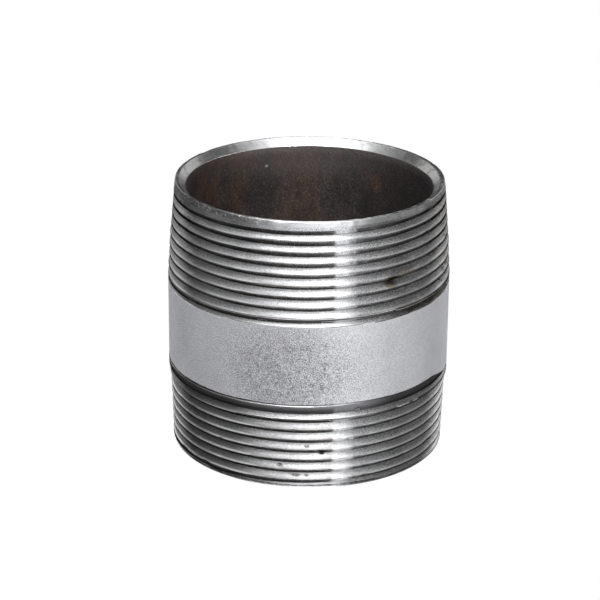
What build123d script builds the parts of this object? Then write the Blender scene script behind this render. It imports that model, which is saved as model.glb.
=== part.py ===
from build123d import *
import os
from math import atan, cos, degrees, radians, sqrt, tan

# Threaded pipe nipple, DN 50 (2 inch), for ISO 7-1 / BS 21 taper pipe threads.
# A short zinc-coated steel pipe with a right-hand taper thread cut on each end.
# The steel is one piece. The zinc is the other: a thin sleeve between the two
# threads, since cutting them removed the coating everywhere else.
#
# Frame: millimetres, +Z up along the pipe axis, origin at the centre of the
# lower end face, -Y at the front.
# "Distance" below means mm from an end face into the pipe.

# ---------------------------------------------------------------- pipe
pipe_od = 60.3            # outside diameter over the zinc
pipe_wall = 4.0           # wall thickness, zinc included
zinc_thickness = 0.08
length = 58.5             # end face to end face
joint_z = 29.5            # plane where the two halves of the model meet

pipe_r = pipe_od / 2
steel_r = pipe_r - zinc_thickness
bore_r = pipe_r - pipe_wall

# ---------------------------------------------------------------- thread form
threads_per_inch = 11
pitch = 25.4 / threads_per_inch
taper = 1 / 32                        # radial growth per mm (1:16 on diameter)
flank_angle = radians(27.5)           # half angle of the 55 degree form
depth = 0.640327 * pitch              # crest to root
rounding_r = 0.137329 * pitch         # radius of the root and crest roundings
rounding_h = 0.073917 * pitch         # height of each rounding
gauge_major = 59.614                  # major diameter at the gauge plane
gauge_length = 15.875                 # gauge plane to small end
end_crest_r = gauge_major / 2 - gauge_length * taper
end_root_r = end_crest_r - depth
crest_loss = 0.023                    # the crests stop this far short of the full form

# ---------------------------------------------------------------- cutters
start_limit = -1.45       # the helix starts at or below this distance, outside the pipe
overlap_turn = 0.7        # degrees by which the run-out cutter overlaps the first one
vanish_margin = 0.05      # radial clearance of the root line where the run-out ends
crest_edge = 0.10         # axial offset from the crest centre where its rounding is cut off
crest_mid = 0.19          # the same for the middle point of the crest rounding
cutter_lift = 0.34        # the cutter stands this far above the full crest

# ---------------------------------------------------------------- ends
upper_face_r = 28.45      # outside radius of the flat ring on the upper end face
upper_bevel_h = end_crest_r - upper_face_r + 0.03   # just over 45 degrees' worth of height
lower_break = 0.25        # 45 degree edge break, lower end
bore_bevel_r = 27.6       # inside bevel at the end faces
bore_bevel_h = 1.55
phase = -88.0             # azimuth (degrees from +X) at which first_root is given

# One entry per threaded end:
# first_root    distance of a root at the phase azimuth
# start, slope  where the cutter begins to climb out of the work, and its radial
#               growth per mm from there
upper_thread = dict(first_root=2.955, start=20.28, slope=0.75)
lower_thread = dict(first_root=0.569, start=15.03, slope=0.44)
upper_blank_early = 0.2   # the blank grows to the pipe's size this much before the run-out


def root_radius(distance):
    """Root radius of the full thread."""
    return end_root_r + distance * taper


def crest_radius(distance):
    """Crest radius of the thread."""
    return end_crest_r + distance * taper - crest_loss


def crest_rounding_height(offset):
    """Height above the root of the crest rounding, at an axial offset from its centre."""
    return depth - rounding_r + sqrt(rounding_r**2 - offset**2)


def cutter(spiral_start, spiral_end, start_r, growth):
    """One thread space swept along a conical helix that starts at azimuth zero.

    Profile: rounded root, 55 degree flanks, flared at the crests.
    In its sketch, x is the height above the root and y the axial half width.
    """
    flank_h = depth - rounding_h
    root_w = rounding_r * cos(flank_angle)
    flank_w = root_w + (flank_h - rounding_h) * tan(flank_angle)
    mid_h, mid_w = crest_rounding_height(crest_mid), pitch / 2 - crest_mid
    edge_h, edge_w = crest_rounding_height(crest_edge), pitch / 2 - crest_edge
    top_h = depth + cutter_lift
    cone = degrees(atan(growth))
    with BuildPart() as cut:
        with BuildLine() as spine:
            Helix(pitch / cos(radians(cone)), spiral_end - spiral_start, start_r,
                  center=(0, 0, spiral_start), cone_angle=cone)
        with BuildSketch(Plane(origin=(start_r, 0, spiral_start),
                               x_dir=(1, 0, 0), z_dir=(0, 1, 0))):
            with BuildLine():
                ThreePointArc((rounding_h, -root_w), (0, 0), (rounding_h, root_w))
                Line((rounding_h, root_w), (flank_h, flank_w))
                ThreePointArc((flank_h, flank_w), (mid_h, mid_w), (edge_h, edge_w))
                Line((edge_h, edge_w), (top_h, edge_w))
                Line((top_h, edge_w), (top_h, -edge_w))
                Line((top_h, -edge_w), (edge_h, -edge_w))
                ThreePointArc((edge_h, -edge_w), (mid_h, -mid_w), (flank_h, -flank_w))
                Line((flank_h, -flank_w), (rounding_h, -root_w))
            make_face()
        sweep(path=spine.line, is_frenet=True)
    return cut.part


def end_cutters(first_root, start, slope):
    """The two cutters of one end: along the 1:16 taper, then up the run-out cone.

    Both pass azimuth zero at first_root plus whole pitches.
    """
    taper_start = first_root
    while taper_start > start_limit:
        taper_start -= pitch
    runout_start = start - overlap_turn / 360 * pitch
    runout_r = root_radius(start) - (start - runout_start) * slope
    runout_end = start + (pipe_r + vanish_margin - root_radius(start)) / slope
    runout_turn = 360 * (runout_start - taper_start) / pitch
    return [
        cutter(taper_start, start, root_radius(taper_start), taper),
        cutter(runout_start, runout_end, runout_r, slope).rotate(Axis.Z, runout_turn),
    ]


def blank(bevel, start, slope, early, height):
    """One half of the pipe before threading, standing on its small end."""
    full_size = start + (pipe_r - crest_radius(start)) / slope
    with BuildPart() as turned:
        with BuildSketch(Plane.XZ):
            with BuildLine():
                Polyline(
                    (bore_r, bore_bevel_h),
                    (bore_bevel_r, 0),
                    *bevel,
                    (crest_radius(start - early), start - early),
                    (pipe_r, full_size - early),
                    (pipe_r, height),
                    (bore_r, height),
                    close=True,
                )
            make_face()
        revolve(axis=Axis.Z)
    return turned.part


def threaded_half(thread, face_r, bevel_h, early, height):
    """One half of the pipe with its thread cut, standing on its small end."""
    cuts = end_cutters(**thread)
    bevel = [(face_r, 0), (crest_radius(bevel_h), bevel_h)]
    with BuildPart() as half:
        add(blank(bevel, thread["start"], thread["slope"], early, height))
        for cut in cuts:
            add(cut, mode=Mode.SUBTRACT)
    return half.part


def steel_cylinder():
    """Everything inside this cylinder is steel, everything outside it is zinc."""
    margin = 5            # the cylinder runs past both ends by this much
    with BuildPart() as cylinder:
        with BuildSketch(Plane.XY.offset(-margin)):
            Circle(steel_r)
        extrude(amount=length + 2 * margin)
    return cylinder.part


def place_lower(half):
    """Turns a lower half to bring its thread to the right azimuth."""
    return half.rotate(Axis.Z, phase)


def place_upper(half):
    """Turns an upper half over, puts it on top and brings its thread to the right azimuth."""
    return half.rotate(Axis.X, 180).moved(Location((0, 0, length))).rotate(Axis.Z, phase)


def export_piece(name, lower, upper):
    """Joins the two halves of a piece and writes its file."""
    with BuildPart() as piece:
        add(lower)
        add(upper)
    piece.part.label = name
    export_step(piece.part, f"parts/{name}.step")


os.makedirs("parts", exist_ok=True)

upper_half = threaded_half(
    upper_thread, face_r=upper_face_r, bevel_h=upper_bevel_h,
    early=upper_blank_early, height=length - joint_z,
)
lower_half = threaded_half(
    lower_thread, face_r=crest_radius(0) - lower_break, bevel_h=lower_break,
    early=0, height=joint_z,
)
steel_zone = steel_cylinder()

# Each half is divided into steel and zinc before it is put in its place.
export_piece("nipple_body",
             place_lower(lower_half & steel_zone), place_upper(upper_half & steel_zone))
export_piece("zinc_coating",
             place_lower(lower_half - steel_zone), place_upper(upper_half - steel_zone))
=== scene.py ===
"""A galvanised pipe nipple with a worn taper thread on each end.

It stands on its lower end face at z = 0 with its axis on Z. The camera looks from -Y, so
azimuth -90 degrees is the front and +X the right. Steel body and zinc band are two meshes.
Lengths are in mm up to the point where a mesh or an object is placed, which is in metres.
"s" is always the distance from the end face that a thread starts at.
"""
import math
from types import SimpleNamespace

import bmesh
import bpy
import numpy as np
from mathutils import Matrix, Vector


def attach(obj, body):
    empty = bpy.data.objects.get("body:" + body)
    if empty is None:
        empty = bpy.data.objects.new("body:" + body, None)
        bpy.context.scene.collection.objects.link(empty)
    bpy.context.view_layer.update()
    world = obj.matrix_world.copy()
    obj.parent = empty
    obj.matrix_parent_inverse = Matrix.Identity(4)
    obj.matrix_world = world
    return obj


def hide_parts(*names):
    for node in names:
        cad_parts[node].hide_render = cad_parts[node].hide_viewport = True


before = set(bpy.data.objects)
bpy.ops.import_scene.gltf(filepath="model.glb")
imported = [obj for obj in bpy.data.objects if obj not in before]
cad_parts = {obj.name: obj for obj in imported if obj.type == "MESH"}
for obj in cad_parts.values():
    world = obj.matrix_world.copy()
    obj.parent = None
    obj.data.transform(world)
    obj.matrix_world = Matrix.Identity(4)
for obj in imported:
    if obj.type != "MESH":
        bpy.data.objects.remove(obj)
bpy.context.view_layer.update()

# ------------------------------------------------------------------ dimensions
MM = 0.001
TAU = 2 * math.pi
LENGTH = 58.5
R_OUT, R_STEEL, R_BORE = 30.15, 30.07, 26.15    # over the zinc, under the zinc, bore
R_SUNK = R_STEEL - 0.02                         # steel where the zinc band covers it
R_END, R_INNER = 28.45, 27.6                    # outer edge of the upper face, inner edge of both
BEVEL = 1.55                                    # height of the bevels inside the bore
BORE_SHIFT = -0.12                              # the bore lies this far off the axis, along X

# thread form
PITCH = 25.4 / 11
TAPER = 1 / 32
FLANK = math.radians(27.5)
DEPTH = 0.640327 * PITCH
CREST_LOSS = 0.023
CUT_DEPTH = DEPTH - CREST_LOSS
MAJOR_DIAMETER, MAJOR_AT = 59.614, 15.875       # diameter, and its distance from the end face
CREST_0 = MAJOR_DIAMETER / 2 - MAJOR_AT * TAPER
ROOT_0 = CREST_0 - DEPTH
PHASE = math.radians(-88.0)                     # azimuth at which both threads are counted from

# thread space: *_HALF is a distance to the side of the root, *_TOP a height over the form's root
ROOT_ROUND = 0.15                               # sharper than the form
CREST_ROUND = 0.46                              # rounder than the form, by wear
SHARP = 1 / math.sin(FLANK) - 1
APEX = PITCH / 2 / math.tan(FLANK) - DEPTH - CREST_ROUND * SHARP  # depth at which the flanks meet
ROOT_LOW = ROOT_ROUND * SHARP - APEX
ROOT_HALF = ROOT_ROUND * math.cos(FLANK)
ROOT_TOP = ROOT_HALF / math.tan(FLANK) - APEX
FLANK_HALF = PITCH / 2 - CREST_ROUND * math.cos(FLANK)
FLANK_TOP = FLANK_HALF / math.tan(FLANK) - APEX
EDGE_HALF = 1.035

# first: s of the first root at PHASE; start, slope: the run-out cone;
# sign: +1 if s grows upwards; lead: roots nearer the face than this are shallower
UPPER = SimpleNamespace(first=2.955, start=20.56, slope=0.75, sign=-1, lead=2.25)
LOWER = SimpleNamespace(first=0.569, start=15.03, slope=0.44, sign=1, lead=0.5)
UPPER_FROM, LOWER_FROM = 1.15, 0.30             # s at which the helical rows begin

# the crests of the upper thread are worn low towards the end: s, and radius there
WORN_S = (0.0, 1.0, 2.7, 4.4, 6.2, 8.0, 9.8, 11.6, 13.3, 15.1, 17.0, 18.7, 20.3, 20.8)
WORN_R = (28.45, 28.62, 28.80, 28.95, 29.08, 29.24, 29.40, 29.60, 29.76, 29.82, 29.90, 30.05,
          30.12, 30.14)

# unevenness, as layers of noise: amplitude, cells round, cells per mm of height, seed
WOBBLE = ((0.035, 23, 0.11, 3), (0.014, 90, 0.4, 4))
TEAR = ((0.7, 170, 0.43, 5), (0.5, 61, 0.43, 6))
TURNING = ((0.006, 60, 1, 21), (0.008, 17, 1, 22))
BORE_ROUGH = ((0.05, 12, 0.05, 31), (0.030, 60, 0.35, 32), (0.018, 170, 0.9, 33))
BORE_EDGE = ((0.12, 9, 1, 41), (0.05, 40, 1, 42))
ZINC_TOP = ((0.03, 80, 1, 51), (0.02, 230, 1, 52))
ZINC_BOTTOM = ((0.03, 80, 1, 53), (0.02, 230, 1, 54))
ZINC_RIPPLE = ((0.014, 7, 0.05, 61), (0.012, 40, 0.25, 62), (0.006, 200, 1.1, 63))

COLUMN_COUNT = 330                              # columns round the body
COLUMNS = np.arange(COLUMN_COUNT)
AZIMUTH = PHASE + TAU * COLUMNS / COLUMN_COUNT
ZINC_COLUMNS, ZINC_ROWS = 540, 60

THREAD, END, BORE, ZINC = 0.0, 1.0, 2.0, 3.0    # values of the "zone" attribute
NO_PHASE = 0.45                                 # value of "ph" where no groove is near


# ------------------------------------------------------------------ noise
def hash_cells(ix, iy, iz, seed):
    """A number in 0..1 for each cell of an integer grid."""
    h = (
        ix.astype(np.int64) * 73856093
        ^ iy.astype(np.int64) * 19349663
        ^ iz.astype(np.int64) * 83492791
        ^ np.int64(seed * 2654435761 % (2**31))
    ).astype(np.uint64)
    h ^= h >> np.uint64(33)
    h *= np.uint64(0xFF51AFD7ED558CCD)
    h ^= h >> np.uint64(29)
    h *= np.uint64(0xC4CEB9FE1A85EC53)
    h ^= h >> np.uint64(32)
    return (h >> np.uint64(40)).astype(np.float64) / 2**24


def fade(f):
    return f * f * f * (f * (f * 6 - 15) + 10)


def space_noise(x, y, z, seed):
    """Smooth value noise in -1..1."""
    ix, iy, iz = np.floor(x), np.floor(y), np.floor(z)
    fx, fy, fz = fade(x - ix), fade(y - iy), fade(z - iz)
    total = 0.0
    for dx in (0, 1):
        for dy in (0, 1):
            for dz in (0, 1):
                weight = (fx if dx else 1 - fx) * (fy if dy else 1 - fy) * (fz if dz else 1 - fz)
                total = total + weight * hash_cells(ix + dx, iy + dy, iz + dz, seed)
    return total * 2 - 1


def ring_noise(theta, z, cells, z_scale, seed):
    """Noise on the cylinder: so many cells round it, z_scale cells per mm along it, no seam."""
    x, y = np.mod(theta, TAU) / TAU * cells, z * z_scale
    ix, iy = np.floor(x), np.floor(y)
    fx, fy = fade(x - ix), fade(y - iy)
    total = 0.0
    for dx in (0, 1):
        for dy in (0, 1):
            weight = (fx if dx else 1 - fx) * (fy if dy else 1 - fy)
            corner = hash_cells(np.mod(ix + dx, cells), iy + dy, np.zeros_like(iy), seed)
            total = total + weight * corner
    return total * 2 - 1


def ripple(layers, theta, z=0.0):
    """Sum of noise layers; without z it only varies round the cylinder."""
    z = z + np.zeros_like(theta)
    return sum(size * ring_noise(theta, z, *layer) for size, *layer in layers)


# ------------------------------------------------------------------ thread surface
def height(end, s):
    return s if end.sign > 0 else LENGTH - s


def root_at(end, turns):
    """s of the root of the groove after so many turns."""
    return end.first + PITCH * (turns)


def crest_radius(s):
    return CREST_0 + s * TAPER - CREST_LOSS


def root_line(end, s):
    """Root radius along a thread, climbing on the run-out cone past its start."""
    flat = np.minimum(s, end.start)
    lift = 0.0
    if end is UPPER:                            # it stands above its nominal cone as a whole
        lift = np.maximum(np.interp(flat, WORN_S, WORN_R) - crest_radius(flat), 0)
    return ROOT_0 + flat * TAPER + lift + np.maximum(s - end.start, 0) * end.slope


def outline(end, s, top):
    """Radius over the crests, at most top."""
    if end is UPPER:
        return np.minimum(np.interp(s, WORN_S, WORN_R), top)
    climb = crest_radius(end.start) + np.maximum(s - end.start, 0) * end.slope
    return np.where(s <= end.start, crest_radius(s), np.minimum(climb, top))


def arc_drop(radius, offset):
    """How far a circle's edge lies from its centre line at an offset."""
    return np.sqrt(np.maximum(radius**2 - offset**2, 0))


def profile(aside):
    """Height of the thread space's wall above its root, so many mm to either side of the root."""
    aside = np.abs(aside)
    arc = ROOT_LOW + ROOT_ROUND - arc_drop(ROOT_ROUND, np.minimum(aside, ROOT_ROUND))
    straight = aside / math.tan(FLANK) - APEX
    crest = DEPTH - CREST_ROUND + arc_drop(CREST_ROUND, PITCH / 2 - aside)
    wall = np.where(aside <= ROOT_HALF, arc, np.where(aside <= FLANK_HALF, straight, crest))
    return np.where(aside > PITCH / 2 - 0.02, 99.0, wall)


def vanish(end):
    """s at which the groove has climbed out of the pipe."""
    return end.start + (R_OUT + 0.05 - ROOT_LOW - root_line(end, end.start)) / end.slope


def half_width(end, s):
    """Half the width that a thread space shows at the pipe's surface, for a root at s."""
    top = outline(end, s, R_OUT) if end is UPPER else R_OUT
    deep = np.minimum(CUT_DEPTH, top - root_line(end, s))
    flank = (deep + APEX) * math.tan(FLANK)
    arc = arc_drop(ROOT_ROUND, ROOT_ROUND - np.clip(deep - ROOT_LOW, 0, ROOT_ROUND))
    share = (deep - FLANK_TOP) / (CUT_DEPTH - FLANK_TOP)
    crest = FLANK_HALF + (EDGE_HALF - FLANK_HALF) * share
    width = np.where(deep >= FLANK_TOP, crest, np.where(deep > ROOT_TOP, flank, arc))
    return np.where(deep <= ROOT_LOW, 0.0, width)


def last_edge(end, azimuth):
    """s at which the plain band starts, at a local azimuth."""
    turn = azimuth / TAU
    gone = vanish(end)
    number = np.floor((gone - end.first) / PITCH - turn)
    root = root_at(end, number + turn)          # the last root before the groove dies
    edge = root + half_width(end, root)
    share = (root - (gone - PITCH)) / PITCH     # 0 just past the end of the groove, 1 before it
    blend = np.clip(share / 0.055, 0, 1)
    blend = blend * blend * (3 - 2 * blend)
    return np.where(share < 0.055, gone * (1 - blend) + edge * blend, edge)


def make_nicks():
    """Nicks, pits and flat spots: azimuth (degrees), z, depth, length round, height."""
    rng = np.random.RandomState(7)
    nicks = []
    for _ in range(150):
        z = rng.uniform(0.5, 19) if rng.rand() < 0.45 else rng.uniform(36.5, 58)
        nicks.append((rng.uniform(0, 360), z, rng.uniform(0.05, 0.24), rng.uniform(0.3, 1.5),
                      rng.uniform(0.25, 0.6)))
    return nicks + [
        (-54.8, 44.4, 0.80, 1.05, 0.80), (-33.7, 51.9, 0.60, 0.55, 0.50),
        (-84.7, 8.2, 0.50, 0.55, 0.45), (-100.7, 4.5, 0.35, 0.7, 0.35),
        (-95.7, 3.1, 0.32, 1.3, 0.30), (-43.0, 8.2, 0.28, 0.45, 0.35),
        (-128.0, 55.9, 0.25, 0.6, 0.30),
    ]


NICKS = make_nicks()


def wrapped(angle):
    """The angle brought into -pi..pi."""
    return np.mod(angle + math.pi, TAU) - math.pi


def surface(end, s, azimuth):
    """Radius of the body's outside at a local azimuth, and its share of the thread's depth."""
    s, azimuth = np.broadcast_arrays(s, azimuth)
    theta, z = PHASE + end.sign * azimuth, height(end, s)
    crest = outline(end, s, R_OUT - 0.01)
    wobble = ripple(WOBBLE, theta, z)
    r = crest
    turn = azimuth / TAU
    nearest = np.round((s - end.first) / PITCH - turn)
    for step in (-1, 0, 1):
        root = root_at(end, nearest + step + turn)
        wall = root_line(end, root) + profile(s + wobble - root)
        wall = wall + np.maximum(end.lead - root, 0) * 2.6
        r = np.where(root <= vanish(end), np.minimum(r, wall), r)
    if end is LOWER:                            # a narrow land is left at the end face
        r = np.maximum(r, crest_radius(0) - 0.10 - 2.4 * np.maximum(s - 0.05, 0))
    share = np.clip((r - (crest - DEPTH)) / DEPTH, 0, 1)
    # the crests are torn a little: they stop short by an amount that wanders
    tear = np.clip(0.5 + ripple(TEAR, theta, z), 0, 1.5)
    live = np.clip((end.start - s) / 3.0, 0, 1)
    r = np.minimum(r, crest - live * (0.004 + 0.05 * tear**2))
    grain = space_noise(np.cos(theta) * 60, np.sin(theta) * 60, z * 2.2, 8)
    r = r + live * (share * (1 - share) * 4) * 0.010 * grain
    for nick_azimuth, nick_z, depth, long, tall in NICKS:
        along = wrapped(theta - math.radians(nick_azimuth)) * 29.5
        weight = np.exp(-((along / long) ** 2) - ((z - nick_z) / tall) ** 2)
        r = np.minimum(r, crest + 0.02 - depth * weight * 1.15)
    return np.where(s > last_edge(end, azimuth) + 0.15, np.minimum(r, R_SUNK), r), share


def phase_of(end, s, azimuth):
    """0 at a root, then the share of a pitch gone down from it."""
    turns = (s - end.first) / PITCH - azimuth / TAU
    down = np.mod(-end.sign * turns + 1e-6, 1.0)
    root = root_at(end, np.round(turns) + azimuth / TAU)
    return np.where((root < vanish(end)) & (root > end.lead - 0.6), down, NO_PHASE)


# ------------------------------------------------------------------ mesh builder
class MeshBuilder:
    """Collects rings of vertices and the faces between them."""

    def __init__(self, azimuth):
        self.azimuth = azimuth
        self.points, self.values, self.quads, self.tris = [], [], [], []
        self.count = 0
        self.first = self.last = None

    def verts(self, r, azimuth, z, zone, share, shift=0.0, phase=NO_PHASE, near=0.0):
        r, azimuth, z, shift, *values = np.broadcast_arrays(
            r, azimuth, z, shift, zone, share, phase, near)
        point = np.stack([r * np.cos(azimuth) + shift, r * np.sin(azimuth), z], -1)
        self.points.append(point.reshape(-1, 3))
        self.values.append(np.stack(values, -1).reshape(-1, 4).astype(float))
        ids = np.arange(self.count, self.count + r.size).reshape(r.shape)
        self.count += r.size
        return ids

    def quad(self, *corners):
        """Quads from four arrays of ids; those with one side of no length become triangles."""
        quads = np.stack([x.ravel() for x in np.broadcast_arrays(*corners)], -1)
        same = np.stack([quads[:, i] == quads[:, (i + 1) % 4] for i in range(4)], -1)
        same_count = same.sum(1)
        crossed = (quads[:, 0] == quads[:, 2]) | (quads[:, 1] == quads[:, 3])
        self.quads.append(quads[(same_count == 0) & ~crossed])
        single, side = quads[same_count == 1], same[same_count == 1]
        for i in range(4):
            keep = [x for x in range(4) if x != (i + 1) % 4]
            self.tris.append(single[side[:, i]][:, keep])

    def band(self, a, b):
        self.quad(a, np.roll(a, -1), np.roll(b, -1), b)

    def ring(self, r, z, zone=END, share=1.0, shift=0.0):
        """A ring of vertices, joined to the ring before it."""
        ids = self.verts(r, self.azimuth, z, zone, share, shift)
        if self.last is None:
            self.first = ids
        else:
            self.band(self.last, ids)
        self.last = ids
        return ids

    def finish(self, name):
        """Closes the last ring to the first and makes the object."""
        self.band(self.last, self.first)
        points = np.concatenate(self.points) * MM
        faces = np.concatenate(self.quads).tolist() + np.concatenate(self.tris).tolist()
        mesh = bpy.data.meshes.new(name)
        mesh.from_pydata(points.tolist(), [], faces)
        for key, column in zip(("zone", "hgt", "ph", "near"), np.concatenate(self.values).T):
            layer = mesh.attributes.new(key, "FLOAT", "POINT")
            layer.data.foreach_set("value", column.astype(np.float32))
        bm = bmesh.new()
        bm.from_mesh(mesh)
        loose = [v for v in bm.verts if not v.link_faces]
        bmesh.ops.delete(bm, geom=loose, context="VERTS")
        bmesh.ops.recalc_face_normals(bm, faces=bm.faces)
        if bm.calc_volume(signed=True) < 0:
            bmesh.ops.reverse_faces(bm, faces=bm.faces)
        bm.to_mesh(mesh)
        bm.free()
        for polygon in mesh.polygons:
            polygon.use_smooth = True
        obj = bpy.data.objects.new(name, mesh)
        bpy.context.scene.collection.objects.link(obj)
        return obj


# ------------------------------------------------------------------ body
def world_columns(end):
    """World column of each local one; the upper thread counts the other way round."""
    return COLUMNS if end.sign > 0 else (-COLUMNS) % COLUMN_COUNT


def skin(end, s):
    """The surface at one level, in world columns."""
    return surface(end, s, TAU * world_columns(end) / COLUMN_COUNT)


def add_helix(shell, end, s_from, s_to, ring_from, ring_to):
    """Rows that follow the helix between two level rings."""
    columns = world_columns(end)
    azimuth = TAU * COLUMNS / COLUMN_COUNT
    # stations across a thread space, with one more on the side that faces up
    half = [0.065, ROOT_HALF, FLANK_HALF, 0.5 * (FLANK_HALF + EDGE_HALF), EDGE_HALF]
    wide = sorted(half + [0.43])
    after, before = (wide, half) if end is UPPER else (half, wide)
    across = [-v for v in reversed(before)] + [0.0] + after
    rows = []
    for number in range(-4, 14):
        root = root_at(end, number + azimuth / TAU)
        previous = root - PITCH
        scale, previous_scale = (
            np.maximum(half_width(end, at) / EDGE_HALF, 0.30) for at in (root, previous))
        rows.append(0.5 * (previous + EDGE_HALF * previous_scale + root - EDGE_HALF * scale))
        rows += [root + v * scale for v in across]
    per_turn = 1 + len(across)
    s = np.array(rows)
    low, high = s <= s_from + 0.025, s >= s_to - 0.025
    inside = ~(low | high)
    r, share = surface(end, s, azimuth)
    plain = last_edge(end, azimuth)
    land = (r > R_STEEL + 0.03) & (s > end.start - 0.3) & (s < plain + 0.15)
    near = np.clip(1 - (plain - s) / 1.8, 0, 1)
    theta = np.broadcast_to(PHASE + end.sign * azimuth, s.shape)
    # rows outside the two rings collapse onto them
    ids = np.where(low, ring_from[columns][None, :], ring_to[columns][None, :])
    ids[inside] = shell.verts(
        r[inside], theta[inside], height(end, s)[inside],
        np.where(land, ZINC, THREAD)[inside], share[inside],
        phase=phase_of(end, s, azimuth)[inside], near=near[inside])
    # after one turn a row meets the row one pitch further on
    right = np.roll(ids, -1, axis=1)
    right[:, -1] = ring_to[columns[0]]
    right[:-per_turn, -1] = ids[per_turn:, 0]
    shell.quad(ids[:-1], right[:-1], right[1:], ids[1:])


def chips(seed, depth):
    """Small nicks round an edge, as a depth for each column."""
    rng = np.random.RandomState(seed)
    total = np.zeros(COLUMN_COUNT)
    for _ in range(26):
        centre, width = rng.uniform(0, TAU), rng.uniform(0.25, 0.8)
        deep = rng.uniform(0.3, 1.0) * depth
        total += deep * np.exp(-((wrapped(AZIMUTH - centre) * 28 / width) ** 2))
    return total


def add_upper_end(shell, inner, turning):
    """Upper end face from the inner edge outwards, and the start of the thread."""
    rim_chips = chips(6, depth=0.10)
    rim = np.minimum(R_END + turning, skin(UPPER, 0.0)[0]) - rim_chips
    shell.ring(inner, LENGTH - 0.035, shift=BORE_SHIFT)
    shell.ring(inner + 0.05, LENGTH - 0.004, shift=BORE_SHIFT)
    for f in (0.35, 0.7):
        shell.ring(inner * (1 - f) + rim * f, LENGTH, shift=BORE_SHIFT * (1 - f))
    shell.ring(rim - 0.05, LENGTH - 0.004)
    for s in (0.03, 0.10, 0.22, 0.38, 0.56, 0.76, 0.98):
        r, share = skin(UPPER, s)
        r = r + turning - rim_chips * max(0, 1 - s / 0.3)
        shell.ring(r, LENGTH - s, np.where(share > 0.97, END, THREAD), share)


def add_threads(shell):
    """Both threads, and the steel under the zinc band between them."""
    r, share = skin(UPPER, UPPER_FROM)
    upper_from = shell.ring(r, LENGTH - UPPER_FROM, THREAD, share)
    s_upper, s_lower = vanish(UPPER) + 0.45, vanish(LOWER) + 0.45
    upper_to = shell.verts(R_SUNK, AZIMUTH, LENGTH - s_upper, THREAD, 1.0)
    add_helix(shell, UPPER, UPPER_FROM, s_upper, upper_from, upper_to)
    shell.last = upper_to
    for f in (0.25, 0.5, 0.75):
        shell.ring(R_SUNK, (LENGTH - s_upper) * (1 - f) + s_lower * f, THREAD)
    lower_to = shell.ring(R_SUNK, s_lower, THREAD)
    r, share = skin(LOWER, LOWER_FROM)
    lower_from = shell.verts(r, AZIMUTH, LOWER_FROM, THREAD, share)
    add_helix(shell, LOWER, LOWER_FROM, s_lower, lower_from, lower_to)
    shell.last = lower_from


def add_lower_end(shell, inner):
    """Lower end face, from the thread inwards."""
    for s in (0.18, 0.08):
        r, share = skin(LOWER, s)
        shell.ring(np.minimum(r, crest_radius(0) - 0.03 + 0.2 * s), s, THREAD, share)
    rim = np.minimum(crest_radius(0) - 0.12, skin(LOWER, 0.0)[0] - 0.02)
    shell.ring(rim, 0.03)
    shell.ring(rim - 0.05, 0.0)
    for f in (0.33, 0.66):
        shell.ring(rim * (1 - f) + inner * f, 0.0, shift=BORE_SHIFT * f)
    shell.ring(inner + 0.05, 0.0, shift=BORE_SHIFT)
    shell.ring(inner, 0.03, shift=BORE_SHIFT)


def add_bore(shell, inner_bottom, inner_top):
    """Bore with both inside bevels, from the bottom up."""
    def bore_radius(z):
        return R_BORE + ripple(BORE_ROUGH, AZIMUTH, z)

    def bevel(inner, z_bore, f, z):
        shell.ring(inner * (1 - f) + bore_radius(z_bore) * f, z, shift=BORE_SHIFT)

    for f in (0.06, 0.35, 0.65, 0.94):
        bevel(inner_bottom, BEVEL, f, BEVEL * f)
    for z in np.linspace(BEVEL + 0.05, LENGTH - BEVEL - 0.05, 30):
        shell.ring(bore_radius(z), z, BORE, shift=BORE_SHIFT)
    edge = ripple(BORE_EDGE, AZIMUTH)
    for f in (0.94, 0.7, 0.45, 0.2, 0.06):
        bevel(inner_top, LENGTH - BEVEL, f, LENGTH - (BEVEL + edge) * f)


def make_body():
    shell = MeshBuilder(AZIMUTH)
    turning = ripple(TURNING, AZIMUTH)
    inner_top = R_INNER + turning + chips(5, depth=0.10)
    inner_bottom = R_INNER + turning + chips(9, depth=0.08)
    add_upper_end(shell, inner_top, turning)
    add_threads(shell)
    add_lower_end(shell, inner_bottom)
    add_bore(shell, inner_bottom, inner_top)
    return shell.finish("nipple_steel")


# ------------------------------------------------------------------ zinc
def make_zinc():
    """The thin band between the last edges of the two threads."""
    theta = PHASE + TAU * np.arange(ZINC_COLUMNS) / ZINC_COLUMNS
    shell = MeshBuilder(theta)
    top = LENGTH - last_edge(UPPER, np.mod(PHASE - theta, TAU)) + ripple(ZINC_TOP, theta)
    bottom = last_edge(LOWER, np.mod(theta - PHASE, TAU)) + ripple(ZINC_BOTTOM, theta)
    inner_rows = np.linspace(0.03, 0.97, ZINC_ROWS)
    for f in np.concatenate([[0.0, 0.004, 0.012], inner_rows, [0.988, 0.996, 1.0]]):
        z = bottom * (1 - f) + top * f
        edge = min(f, 1 - f)
        drop = 0.05 if edge == 0 else 0.012 if edge < 0.005 else 0.0
        shell.ring(R_OUT - 0.025 + ripple(ZINC_RIPPLE, theta, z) - drop, z, ZINC)
    for z in (top, bottom):
        shell.ring(R_STEEL - 0.01, z, ZINC, 0.0)
    return shell.finish("zinc_band")


# ------------------------------------------------------------------ shader graphs
def grey(value):
    return (value, value, value)


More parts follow.
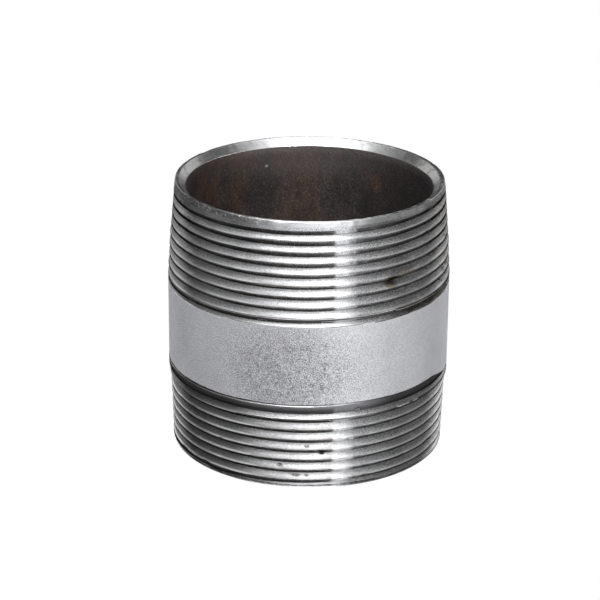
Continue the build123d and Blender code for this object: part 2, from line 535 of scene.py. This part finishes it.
class Graph:
    """Short calls for building a node tree. Values are numbers, tuples or sockets."""

    def __init__(self, owner):
        owner.use_nodes = True
        self.tree = owner.node_tree
        self.tree.nodes.clear()

    def put(self, socket, value):
        if isinstance(value, bpy.types.NodeSocket):
            self.tree.links.new(value, socket)
        else:
            socket.default_value = (*value, 1.0) if socket.type == "RGBA" else value

    def new(self, kind, inputs=None, **settings):
        node = self.tree.nodes.new("ShaderNode" + kind)
        for key, value in settings.items():
            setattr(node, key, value)
        for key, value in (inputs or {}).items():
            self.put(node.inputs[key], value)
        return node

    def math(self, operation, *values):
        return self.new("Math", dict(enumerate(values)), operation=operation).outputs[0]

    def add(self, total, *values):
        for value in values:
            total = self.math("ADD", total, value)
        return total

    def mul(self, total, *values):
        for value in values:
            total = self.math("MULTIPLY", total, value)
        return total

    def inverse(self, value):
        return self.math("SUBTRACT", 1.0, value)

    def ramp(self, value, over, to=(0.0, 1.0)):
        """Smooth step that takes the range over to the range to."""
        node = self.new("MapRange", {
            "Value": value, "From Min": over[0], "From Max": over[1],
            "To Min": to[0], "To Max": to[1],
        }, interpolation_type="SMOOTHSTEP")
        return node.outputs["Result"]

    def fall(self, value, over):
        """1 before the range over, 0 after it."""
        return self.inverse(self.ramp(value, over))

    def split_xyz(self, vector):
        return self.new("SeparateXYZ", {0: vector}).outputs

    def camera_split(self, output, seen, other):
        """Shows seen to camera rays and other to every other ray."""
        ray = self.new("LightPath").outputs["Is Camera Ray"]
        mixed = self.new("MixShader", {0: ray, 1: other.outputs[0], 2: seen.outputs[0]})
        self.new(output, {0: mixed.outputs[0]})


class Material(Graph):
    """A principled material whose textures are placed in object mm."""

    def __init__(self, name):
        self.material = bpy.data.materials.new(name)
        super().__init__(self.material)
        self.bsdf = self.new("BsdfPrincipled")
        self.new("OutputMaterial", {0: self.bsdf.outputs[0]})
        place = self.new("TexCoord").outputs["Object"]
        self.pos = self.new("VectorMath", {0: place, 3: 1000.0}, operation="SCALE").outputs[0]

    def shade(self, inputs):
        for key, value in inputs.items():
            self.put(self.bsdf.inputs[key], value)

    def vector(self, operation, a, b):
        return self.new("VectorMath", {0: a, 1: b}, operation=operation).outputs[0]

    def length(self, vector):
        return self.new("VectorMath", {0: vector}, operation="LENGTH").outputs["Value"]

    def attr(self, key):
        return self.new("Attribute", attribute_name=key).outputs["Fac"]

    def place(self, stretch, seed):
        where = self.pos
        if stretch:
            where = self.vector("MULTIPLY", where, stretch)
        if seed:
            where = self.vector("ADD", where, (seed, seed * 0.7, seed * 1.3))
        return where

    def noise(self, scale, detail=2.0, rough=0.5, stretch=None, seed=0.0):
        return self.new("TexNoise", {
            "Scale": scale, "Detail": detail, "Roughness": rough,
            "Vector": self.place(stretch, seed),
        }).outputs["Fac"]

    def voronoi(self, scale, stretch=None, seed=0.0):
        inputs = {"Scale": scale, "Vector": self.place(stretch, seed)}
        return self.new("TexVoronoi", inputs).outputs["Distance"]

    def mix(self, factor, a, b):
        return self.new("Mix", {"Factor": factor, 6: a, 7: b}, data_type="RGBA").outputs[2]

    def lerp(self, factor, a, b):
        return self.new("Mix", {0: factor, 2: a, 3: b}, data_type="FLOAT").outputs[0]

    def coat(self, base, *masks, colour, strength=None):
        """A colour laid over base where all masks are high."""
        if strength is not None:
            masks += (strength,)
        return self.mix(self.mul(*masks), base, colour)

    def bump(self, relief, strength, distance):
        inputs = {"Strength": strength, "Distance": distance * MM, "Height": relief}
        return self.new("Bump", inputs).outputs[0]

    def height(self):
        return self.split_xyz(self.pos)["Z"]

    def spot(self, at, half):
        """Soft spot at (azimuth, z, radius), reaching half = (sideways, up and down) mm."""
        turn, wide, tall = math.radians(at[0]), *half
        centre = (at[2] * math.cos(turn), at[2] * math.sin(turn), at[1])
        offset = self.vector("SUBTRACT", self.pos, centre)
        offset = self.vector("MULTIPLY", offset, (1 / wide, 1 / wide, 1 / tall))
        return self.ramp(self.length(offset), over=(1.0, 0.3))

    def stripe(self, at, half, soft):
        """Stripe down the cylinder at an azimuth, half degrees to either side."""
        xyz = self.split_xyz(self.pos)
        turn = self.math("ARCTAN2", xyz["Y"], xyz["X"])
        away = self.math("PINGPONG", self.math("SUBTRACT", turn, math.radians(at)), math.pi)
        return self.ramp(away, over=(math.radians(half + soft), math.radians(half - soft)))


# ------------------------------------------------------------------ steel
def steel_masks(m):
    """Zones, noises and parts of the thread that the colours share."""
    k = SimpleNamespace()
    zone, share, phase = m.attr("zone"), m.attr("hgt"), m.attr("ph")
    k.thread, k.end, k.bore, k.zinc = (
        m.math("COMPARE", zone, value, 0.5) for value in (THREAD, END, BORE, ZINC))
    k.cut = m.add(k.thread, k.zinc)
    k.streak = m.noise(scale=1.0, stretch=(0.22, 0.22, 9.0), detail=3, rough=0.6)
    k.fine_streak = m.noise(scale=1.0, stretch=(0.5, 0.5, 22.0), detail=2, rough=0.6, seed=11)
    k.torn = m.noise(scale=1.0, stretch=(1.8, 1.8, 5.5), detail=3, rough=0.65, seed=5)
    grain = m.noise(scale=4.2, detail=2, rough=0.65, stretch=(1, 1, 1.2), seed=61)
    k.no_grain = m.fall(grain, over=(0.36, 0.62))
    k.low_end = m.ramp(m.height(), over=(26.0, 24.0))
    k.off_front = m.inverse(m.stripe(at=-88, half=27, soft=10))

    # the torn flank that faces up
    flank = m.mul(m.ramp(phase, over=(0.0, 0.010)), m.ramp(phase, over=(0.42, 0.30)), k.thread)
    k.flank = m.mul(flank, m.ramp(share, over=(1.0, 0.90)))

    # painted shade on the flank that faces down and the lower half of the crest, left out down
    # one stripe where the strip light is reflected
    strip_reflection_lift = m.add(
        m.mul(m.stripe(at=-75.2, half=4.3, soft=0.9), 0.80),
        m.mul(m.stripe(at=-62, half=8, soft=7), 0.42))
    front = m.stripe(at=-95, half=24, soft=9)
    shift = m.add(m.mul(m.inverse(front), -0.10), m.mul(front, k.low_end, 0.055))
    has_phase = m.math("ABSOLUTE", m.math("SUBTRACT", phase, NO_PHASE))
    k.under = m.mul(
        m.ramp(m.add(phase, shift), over=(0.16, 0.50)), k.cut,
        m.inverse(m.math("MINIMUM", strip_reflection_lift, 0.85)), m.ramp(has_phase, over=(0.0, 0.0001)))

    # painted highlight: a bright line along the crests, away from the front
    k.line = m.mul(
        m.ramp(phase, over=(0.27, 0.33)), m.ramp(phase, over=(0.46, 0.39)), k.off_front,
        k.thread, m.ramp(k.streak, over=(0.30, 0.55), to=(0.55, 1.0)))

    # brown next to the zinc, on the right of the upper thread
    k.brown = m.mul(
        m.ramp(m.attr("near"), over=(0.05, 0.45)), m.stripe(at=-30, half=22, soft=9),
        m.ramp(m.height(), over=(28.0, 30.0)), k.cut,
        m.ramp(k.torn, over=(0.30, 0.55), to=(0.6, 1.0)))

    # stains, mostly towards the right of the front
    side = m.spot(at=(-25, 40, 30), half=(22, 26))
    blotch = m.noise(scale=0.42, stretch=(0.7, 0.7, 3.6), detail=4, rough=0.7, seed=21)
    k.stain = m.mul(m.ramp(blotch, over=(0.50, 0.66)), m.add(m.mul(side, 0.75), 0.16))
    return k


def brown_edge(m, k, base):
    return m.coat(base, k.brown, colour=(0.055, 0.037, 0.026), strength=0.88)


def thread_colour(m, k):
    smooth = m.mix(
        m.ramp(k.streak, over=(0.3, 0.7)), (0.44, 0.44, 0.45), (0.58, 0.58, 0.59))
    # torn steel on the flank that faces up, with painted light: near white to make up for the
    # shade of the crest above it
    bright = m.mix(m.ramp(k.torn, over=(0.42, 0.72)), grey(0.96), grey(0.76))
    # painted shade: the flank darkens away from the front, on the lower thread and at the back
    bright = m.coat(
        bright, k.off_front, k.low_end, m.stripe(at=-160, half=50, soft=10),
        colour=(0.16, 0.158, 0.155), strength=0.62)
    steel = m.mix(k.flank, smooth, bright)
    dirt = m.add(m.mul(m.stripe(at=-58, half=11, soft=7), 0.34), 0.42)
    steel = m.coat(steel, k.no_grain, dirt, k.thread, colour=(0.13, 0.128, 0.125))
    # painted shade on the flank that faces down and the lower half of the crest
    steel = m.coat(steel, k.under, colour=(0.082, 0.079, 0.076), strength=0.97)
    # painted highlight along the crests
    steel = m.coat(steel, k.line, colour=(0.97, 0.97, 0.96), strength=0.95)
    # painted shade: the upper thread darkens towards both sides
    high = m.mul(m.ramp(m.height(), over=(33.0, 38.0)), k.thread)
    for at, colour in ((-172, (0.17, 0.165, 0.165)), (-8, (0.19, 0.172, 0.155))):
        side = m.stripe(at=at, half=16, soft=12)
        steel = m.coat(steel, high, side, colour=colour, strength=0.55)
    steel = brown_edge(m, k, steel)
    steel = m.coat(steel, k.stain, colour=(0.085, 0.062, 0.042))
    # the large pit right of the front, the trail beside it and its pale lower lip
    trail = m.spot(at=(-49.0, 45.3, 29.2), half=(5.2, 1.6))
    steel = m.coat(steel, trail, m.ramp(k.torn, over=(0.35, 0.6)),
                   colour=(0.20, 0.165, 0.115), strength=0.75)
    pit = m.spot(at=(-54.8, 44.5, 29.2), half=(2.5, 1.75))
    steel = m.coat(steel, pit, colour=(0.075, 0.045, 0.024), strength=0.95)
    lip = m.spot(at=(-55.6, 43.4, 29.2), half=(1.4, 0.45))
    steel = m.coat(steel, lip, colour=(0.50, 0.41, 0.27), strength=0.70)
    # small dark marks low on the front, and a bright nick to their right
    broken = m.ramp(
        m.noise(scale=3.2, detail=2, rough=0.6, seed=83), over=(0.38, 0.50), to=(0.40, 1.0))
    dots = m.math(
        "MAXIMUM", m.spot(at=(-83.9, 8.5, 29.35), half=(0.95, 0.60)),
        m.spot(at=(-83.65, 7.50, 28.15), half=(0.95, 0.42)))
    steel = m.coat(steel, dots, colour=(0.012, 0.011, 0.011), strength=0.98)
    mark = m.spot(at=(-101.2, 4.74, 28.6), half=(1.0, 0.44))
    steel = m.coat(steel, mark, broken, colour=(0.06, 0.055, 0.05), strength=0.95)
    mark = m.spot(at=(-90.0, 9.38, 28.8), half=(1.0, 0.34))
    steel = m.coat(steel, mark, broken, colour=(0.07, 0.065, 0.06), strength=0.92)
    marks = m.math(
        "MAXIMUM", m.spot(at=(-94.6, 2.52, 28.4), half=(1.5, 0.34)),
        m.spot(at=(-90.0, 2.52, 28.4), half=(0.7, 0.34)))
    steel = m.coat(steel, marks, broken, colour=(0.07, 0.062, 0.055), strength=0.92)
    nick = m.spot(at=(-39.3, 7.36, 28.7), half=(1.1, 0.50))
    return m.coat(steel, nick, colour=grey(0.95), strength=0.95)


def end_colour(m, k, worn):
    """End faces and bevels, with painted shade that makes the sides darker than the front and the
    back.
    """
    end = m.mix(m.ramp(k.fine_streak, over=(0.3, 0.75)), grey(0.50), grey(0.66))
    end = m.coat(end, worn, colour=(0.26, 0.255, 0.25), strength=0.55)
    # painted shade: the sides of the end faces, and the inner edge there, are darker than the
    # front and the back
    lit = m.math("MAXIMUM", m.stripe(at=90, half=34, soft=26), m.stripe(at=-84, half=30, soft=22))
    end = m.coat(end, m.inverse(lit), colour=(0.22, 0.205, 0.185), strength=0.20)
    radius = m.length(m.vector("MULTIPLY", m.pos, (1.0, 1.0, 0.0)))
    end = m.coat(end, m.ramp(radius, over=(27.62, 27.45)), m.inverse(lit),
                 colour=(0.16, 0.150, 0.135), strength=0.30)
    # painted shade: a dark patch on the front left of the upper face, with bright chips
    cloud = m.noise(scale=0.8, detail=4, rough=0.7, seed=71)
    painted_shade_patch = m.mul(
        m.add(m.spot(at=(-140, 58.3, 28.5), half=(24, 6)), 0.0),
        m.ramp(cloud, over=(0.30, 0.62), to=(1.0, 0.45)))
    end = m.coat(end, painted_shade_patch, colour=(0.10, 0.098, 0.095), strength=0.9)
    chip = m.ramp(m.noise(scale=2.2, detail=2, rough=0.6, seed=77), over=(0.55, 0.62))
    return m.coat(end, m.mul(chip, m.stripe(at=-138, half=34, soft=16)),
                  colour=(0.80, 0.79, 0.77), strength=0.75)


def bore_colour(m):
    """Dark oxide with rust, dust and grain."""
    oxide_noise = m.noise(scale=0.5, stretch=(1, 1, 0.5), detail=4, rough=0.7, seed=35)
    oxide = m.mix(
        m.ramp(oxide_noise, over=(0.35, 0.7)), (0.005, 0.0034, 0.0030), (0.029, 0.020, 0.0165))
    rust_tone = m.ramp(m.noise(scale=1.4, detail=3, rough=0.7, seed=33), over=(0.45, 0.75))
    rust = m.mix(rust_tone, (0.034, 0.017, 0.0105), (0.070, 0.033, 0.0165))
    rusty = m.noise(scale=0.22, stretch=(1, 1, 0.45), detail=3, rough=0.6, seed=31)
    bore = m.coat(oxide, m.ramp(rusty, over=(0.48, 0.70)), colour=rust, strength=0.7)
    rusty = m.noise(scale=0.35, stretch=(1, 1, 0.35), detail=4, rough=0.7, seed=37)
    bore = m.coat(
        bore, m.spot(at=(130, 50, 26), half=(17, 16)), m.ramp(rusty, over=(0.42, 0.66)),
        colour=(0.046, 0.020, 0.010), strength=0.8)
    dust = m.noise(scale=1.6, detail=4, rough=0.75, seed=39)
    dusty = m.noise(scale=0.2, stretch=(1, 1, 0.4), detail=2, seed=40)
    dust = m.mul(m.ramp(dust, over=(0.52, 0.70)), m.ramp(dusty, over=(0.40, 0.62)))
    bore = m.coat(bore, dust, colour=(0.085, 0.075, 0.070), strength=0.40)
    dark = m.spot(at=(113.7, 48.0, 26), half=(5.5, 8.0))
    bore = m.coat(bore, dark, colour=(0.0035, 0.0042, 0.0042), strength=0.75)
    grain = m.noise(scale=2.6, detail=3, rough=0.75, seed=45)
    bore = m.coat(bore, m.ramp(grain, over=(0.50, 0.34), to=(0.0, 0.75)),
                  colour=(0.003, 0.002, 0.002))
    bore = m.coat(bore, m.ramp(grain, over=(0.54, 0.68), to=(0.0, 0.60)),
                  colour=(0.105, 0.074, 0.060))
    # pale at the top of the back wall, dark on the right, a rust mark and a bright speck
    pale = m.spot(at=(92, 56.0, 26), half=(34, 8))
    bore = m.coat(bore, pale, colour=(0.062, 0.054, 0.052), strength=0.42)
    dark = m.spot(at=(20, 48, 26), half=(30, 24))
    bore = m.coat(bore, dark, colour=(0.008, 0.0062, 0.0062), strength=0.72)
    mark = m.spot(at=(56, 50.0, 26), half=(2.0, 3.0))
    bore = m.coat(bore, mark, m.ramp(grain, over=(0.35, 0.6)),
                  colour=(0.085, 0.036, 0.015), strength=0.55)
    speck = m.spot(at=(111.7, 52.8, 26), half=(0.5, 0.45))
    return m.coat(bore, speck, colour=(0.30, 0.28, 0.27), strength=0.75)


def land_colour(m, k):
    """Zinc left on the lands of the run-out."""
    fleck = m.ramp(m.voronoi(scale=4.2, seed=3), over=(0.30, 0.12))
    zinc = m.mix(m.mul(fleck, 0.5), (0.30, 0.30, 0.31), (0.48, 0.48, 0.49))
    zinc = m.coat(zinc, k.no_grain, colour=grey(0.12), strength=0.5)
    # painted shade on the flank that faces down
    zinc = m.coat(zinc, k.under, colour=(0.075, 0.072, 0.07), strength=0.85)
    # painted shade away from the front
    zinc = m.coat(zinc, k.off_front, colour=(0.050, 0.048, 0.047), strength=0.80)
    return brown_edge(m, k, zinc)


def steel_roughness(m, k, worn):
    on_flank = m.lerp(k.torn, 0.42, 0.58)
    rough = m.lerp(k.flank, m.lerp(m.ramp(k.torn, over=(0.45, 0.7)), 0.25, 0.32), on_flank)
    rough = m.lerp(k.stain, rough, 0.6)
    rough = m.lerp(k.line, rough, 0.34)
    rough = m.lerp(k.end, rough, m.ramp(worn, over=(0.0, 1.0), to=(0.28, 0.46)))
    rough = m.lerp(k.bore, rough, 0.62)
    return m.lerp(k.zinc, rough, 0.5)


def steel_relief(m, k):
    grit = m.noise(scale=7.0, detail=2, rough=0.7, seed=9)
    torn = m.mul(k.torn, m.lerp(k.end, m.lerp(k.flank, 0.06, 0.22), 0.04))
    outside = m.add(m.mul(k.streak, 0.30), m.mul(k.fine_streak, 0.20), torn, m.mul(grit, 0.015))
    coarse = m.noise(scale=1.1, detail=4, rough=0.7, seed=41)
    fine = m.noise(scale=4.0, detail=3, rough=0.7, seed=43)
    inside = m.mul(m.add(coarse, m.mul(fine, 0.4)), 2.2)
    return m.lerp(k.bore, outside, inside)


def steel_material():
    m = Material("cut_steel")
    k = steel_masks(m)
    worn = m.ramp(m.noise(scale=0.55, detail=4, rough=0.65, seed=51), over=(0.48, 0.66))
    colour = m.mix(k.end, thread_colour(m, k), end_colour(m, k, worn))
    colour = m.mix(k.bore, colour, bore_colour(m))
    m.shade({
        "Base Color": m.mix(k.zinc, colour, land_colour(m, k)),
        "Metallic": m.lerp(k.bore, m.lerp(k.stain, 1.0, 0.55), 0.25),
        # specular tint darkened under the painted shade of the flank that faces down
        "Specular Tint": m.mix(k.under, grey(1.0), grey(0.12)),
        "Roughness": steel_roughness(m, k, worn),
        "Tangent": m.new("Tangent", direction_type="RADIAL", axis="Z").outputs[0],
        "Anisotropic Rotation": 0.25,
        "Anisotropic": m.lerp(m.add(k.bore, k.zinc), m.lerp(k.end, 1.0, 0.75), 0.0),
        "Normal": m.bump(steel_relief(m, k), strength=0.55, distance=0.09),
    })
    return m.material


# ------------------------------------------------------------------ zinc material
def zinc_material():
    m = Material("galvanised_zinc")
    cell = m.voronoi(scale=3.4, stretch=(1, 1, 1))
    small_cell = m.voronoi(scale=6.5, seed=7)
    tone = m.noise(scale=0.10, detail=2, seed=3)
    cloud = m.noise(scale=0.45, detail=3, rough=0.6, seed=13)
    grit = m.noise(scale=5.0, detail=3, rough=0.7, seed=17)
    speck = m.noise(scale=4.3, detail=2, rough=0.75, seed=23)
    coarse = m.noise(scale=0.9, detail=2, rough=0.6, seed=29)

    # mottled grey, with pale and dark cells
    base = m.mix(m.ramp(tone, over=(0.3, 0.7)), (0.445, 0.443, 0.462), (0.50, 0.498, 0.512))
    base = m.coat(base, m.ramp(cloud, over=(0.4, 0.75)), colour=(0.37, 0.37, 0.385),
                  strength=0.35)
    base = m.coat(base, m.ramp(cell, over=(0.26, 0.10)), colour=(0.76, 0.76, 0.77),
                  strength=0.45)
    # painted shade: the dark small cells are much stronger at the front
    front_speckle_weight = m.add(m.mul(m.spot(at=(-93, 26, 30), half=(19, 14)), 1.0), 0.16)
    base = m.coat(base, m.ramp(small_cell, over=(0.30, 0.10)), front_speckle_weight,
                  colour=(0.13, 0.13, 0.14))
    # painted shade left of the front and a painted highlight right of it
    base = m.coat(base, m.spot(at=(-117, 26, 30), half=(20, 60)), colour=(0.12, 0.12, 0.125),
                  strength=0.30)
    base = m.coat(base, m.stripe(at=-72, half=9, soft=8), colour=(0.72, 0.72, 0.70),
                  strength=0.30)
    # specks, most of them at the front: grain, with painted glints and painted shade
    amount = m.add(
        m.mul(m.spot(at=(-98, 26, 30), half=(22, 17)), 0.44),
        m.mul(m.spot(at=(-66, 26, 30), half=(18, 20)), 0.16), 0.20)
    patches = m.mul(
        m.ramp(coarse, over=(0.62, 0.40)), m.spot(at=(-98, 26, 30), half=(17, 15)), 0.35)
    dark = m.add(m.ramp(speck, over=(0.56, 0.38)), patches)
    base = m.coat(base, dark, amount, colour=(0.055, 0.055, 0.058))
    base = m.coat(base, m.ramp(speck, over=(0.52, 0.70)), amount, colour=grey(0.70),
                  strength=0.8)
    # painted sheen: paler where it is seen edge on
    facing = m.new("LayerWeight", {"Blend": 0.5}).outputs["Facing"]
    base = m.coat(base, m.ramp(facing, over=(0.55, 1.0), to=(0.0, 0.75)),
                  colour=(0.95, 0.95, 0.97))
    relief = m.add(
        m.mul(cell, 0.6), m.mul(grit, 0.8), m.mul(cloud, 0.5), m.mul(small_cell, 0.3))
    m.shade({
        "Base Color": base,
        "Metallic": 0.22,
        "Roughness": m.ramp(grit, over=(0.3, 0.8), to=(0.30, 0.44)),
        "Normal": m.bump(relief, strength=0.8, distance=0.10),
    })
    return m.material


body = make_body()
zinc = make_zinc()
body.data.materials.append(steel_material())
zinc.data.materials.append(zinc_material())
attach(body, "root")
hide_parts("nipple_body")
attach(zinc, "root")
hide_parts("zinc_coating")


# ------------------------------------------------------------------ floor, metres from here on
FLOOR_SIZE = 6.0


def make_floor():
    """A floor that is white to the camera and that no other ray meets."""
    mesh = bpy.data.meshes.new("floor")
    s = FLOOR_SIZE / 2
    mesh.from_pydata([(-s, -s, 0.0), (s, -s, 0.0), (s, s, 0.0), (-s, s, 0.0)], [], [(0, 1, 2, 3)])
    floor = bpy.data.objects.new("floor", mesh)
    bpy.context.scene.collection.objects.link(floor)
    material = bpy.data.materials.new("floor_white")
    graph = Graph(material)
    graph.camera_split(
        "OutputMaterial",
        seen=graph.new("Emission", {0: grey(1), 1: 1.0}),
        other=graph.new("BsdfDiffuse", {0: grey(0.80)}))
    mesh.materials.append(material)
    floor.visible_diffuse = floor.visible_glossy = False
    floor.visible_shadow = floor.visible_transmission = False


# ------------------------------------------------------------------ world
# radiance of each part of the studio
RADIANCE = SimpleNamespace(
    dark=0.005, room=0.03, key=11.0, strip=2.9, strip_up=1.5, right=1.35, ring=0.13, low=0.28)
CAMERA_Y, CAMERA_Z = 0.929, 0.370               # (0, -CAMERA_Y, CAMERA_Z) points to the camera
DEGREES = 57.29578


def studio_light(g):
    """Softboxes laid out by turn and tilt of the surface that mirrors them to the camera."""
    x, y, z = g.split_xyz(g.new("TexCoord").outputs["Generated"])
    y = g.math("SUBTRACT", CAMERA_Y, y)
    turn = g.mul(g.math("ARCTAN2", x, y), DEGREES)
    flat = g.math("SQRT", g.add(g.mul(x, x), g.mul(y, y)))
    tilt = g.mul(g.math("ARCTAN2", g.add(z, CAMERA_Z), flat), DEGREES)
    side = g.math("ABSOLUTE", turn)
    light = RADIANCE
    base = g.add(light.dark, g.mul(g.ramp(tilt, over=(-25, 35)), light.room - light.dark))
    # fades the key and the low light out to the left
    left = g.add(
        0.012, g.mul(g.ramp(turn, over=(-58, -20)), 0.085),
        g.mul(g.ramp(turn, over=(-33, 10)), 0.903))
    key = g.mul(
        g.ramp(tilt, over=(8, 40)), g.fall(tilt, over=(70, 86)),
        g.fall(turn, over=(10.8, 12.2)), left, light.key)
    # narrow upright strip between the key and the right light
    strip_radiance = g.add(
        light.strip, g.mul(g.ramp(tilt, over=(-12, 20)), light.strip_up - light.strip))
    strip = g.mul(
        g.ramp(turn, over=(10.8, 12.2)), g.fall(turn, over=(15.6, 18.4)),
        g.ramp(tilt, over=(-62, -40)), g.fall(tilt, over=(68, 86)), strip_radiance)
    right = g.mul(
        g.ramp(turn, over=(15.6, 18.4)), g.add(1.0, g.mul(g.ramp(turn, over=(18, 42)), -0.88)),
        g.ramp(tilt, over=(5, 30)), g.fall(tilt, over=(68, 86)), light.right)
    ring = g.mul(
        g.ramp(tilt, over=(4, 16)), g.fall(tilt, over=(28, 46)),
        g.add(1.0, g.mul(g.ramp(side, over=(40, 65)), -0.6)), light.ring)
    low = g.mul(
        g.ramp(tilt, over=(-50, 5)), g.fall(tilt, over=(8, 30)),
        g.add(0.08, g.mul(left, 0.92)),
        g.add(1.0, g.mul(g.ramp(turn, over=(17.0, 30)), -0.7)), light.low)
    return g.add(base, key, strip, right, ring, low)


def make_world():
    world = bpy.data.worlds.new("studio")
    bpy.context.scene.world = world
    graph = Graph(world)
    graph.camera_split(
        "OutputWorld",
        seen=graph.new("Background", {0: grey(1)}),
        other=graph.new("Background", {0: (0.97, 0.98, 1.0), 1: studio_light(graph)}))


# ------------------------------------------------------------------ lights
# upright softboxes: name, two lower corners, height, radiance
PANELS = (
    ("left_side", (-1.0, 0.40, -0.50), (-1.0, -0.40, -0.50), 0.65, 0.09),
    ("right_side", (1.0, -0.40, -0.50), (1.0, 0.40, -0.50), 0.65, 0.22),
    ("back_left", (-0.35, 1.0, 0.0), (-0.95, 0.75, 0.0), 0.8, 0.8),
    ("back_right", (0.95, 0.75, 0.0), (0.35, 1.0, 0.0), 0.8, 0.8),
)


def place(name, data, axes, centre):
    """Object whose local X, Y and Z point along axes."""
    obj = bpy.data.objects.new(name, data)
    bpy.context.scene.collection.objects.link(obj)
    matrix = Matrix(axes).transposed().to_4x4()
    matrix.translation = centre
    obj.matrix_world = matrix
    return obj


def make_panel(name, corner, other_corner, rise, radiance):
    """A softbox that shines towards the object, along its own -Z."""
    start, up = Vector(corner), Vector((0, 0, rise))
    wide = Vector(other_corner) - start
    light = bpy.data.lights.new(name, "AREA")
    light.shape = "RECTANGLE"
    light.size, light.size_y = wide.length, up.length
    light.energy = radiance * math.pi * wide.length * up.length
    along, upright = wide.normalized(), up.normalized()
    axes = (along, upright, along.cross(upright))
    place(name, light, axes, start + wide / 2 + up / 2).visible_camera = False


# ------------------------------------------------------------------ camera
CAMERA_DISTANCE, CAMERA_RISE = 451.03, 180.87   # mm before the axis and over mid-height
PAN, TILT, ROLL = math.radians(-0.2335), math.radians(21.71), math.radians(0.612)
FOCAL_LENGTH, SENSOR_WIDTH = 135.0498, 36.0     # mm


def make_camera():
    forward = Vector((
        math.sin(PAN) * math.cos(TILT), math.cos(PAN) * math.cos(TILT), -math.sin(TILT)))
    level = Vector((math.cos(PAN), -math.sin(PAN), 0))
    up = level.cross(forward)
    axes = (
        math.cos(ROLL) * level + math.sin(ROLL) * up,
        -math.sin(ROLL) * level + math.cos(ROLL) * up,
        -forward,
    )
    camera = bpy.data.cameras.new("camera")
    camera.sensor_width = SENSOR_WIDTH
    camera.lens = FOCAL_LENGTH
    camera.clip_start, camera.clip_end = 0.01, 20
    centre = Vector((0, -CAMERA_DISTANCE * MM, (CAMERA_RISE + LENGTH / 2) * MM))
    bpy.context.scene.camera = place("camera", camera, axes, centre)


make_floor()
make_world()
for panel in PANELS:
    make_panel(*panel)
make_camera()

view = bpy.context.scene.view_settings
view.view_transform = "Standard"
view.look = "None"
view.exposure = 0.0
view.gamma = 1.0
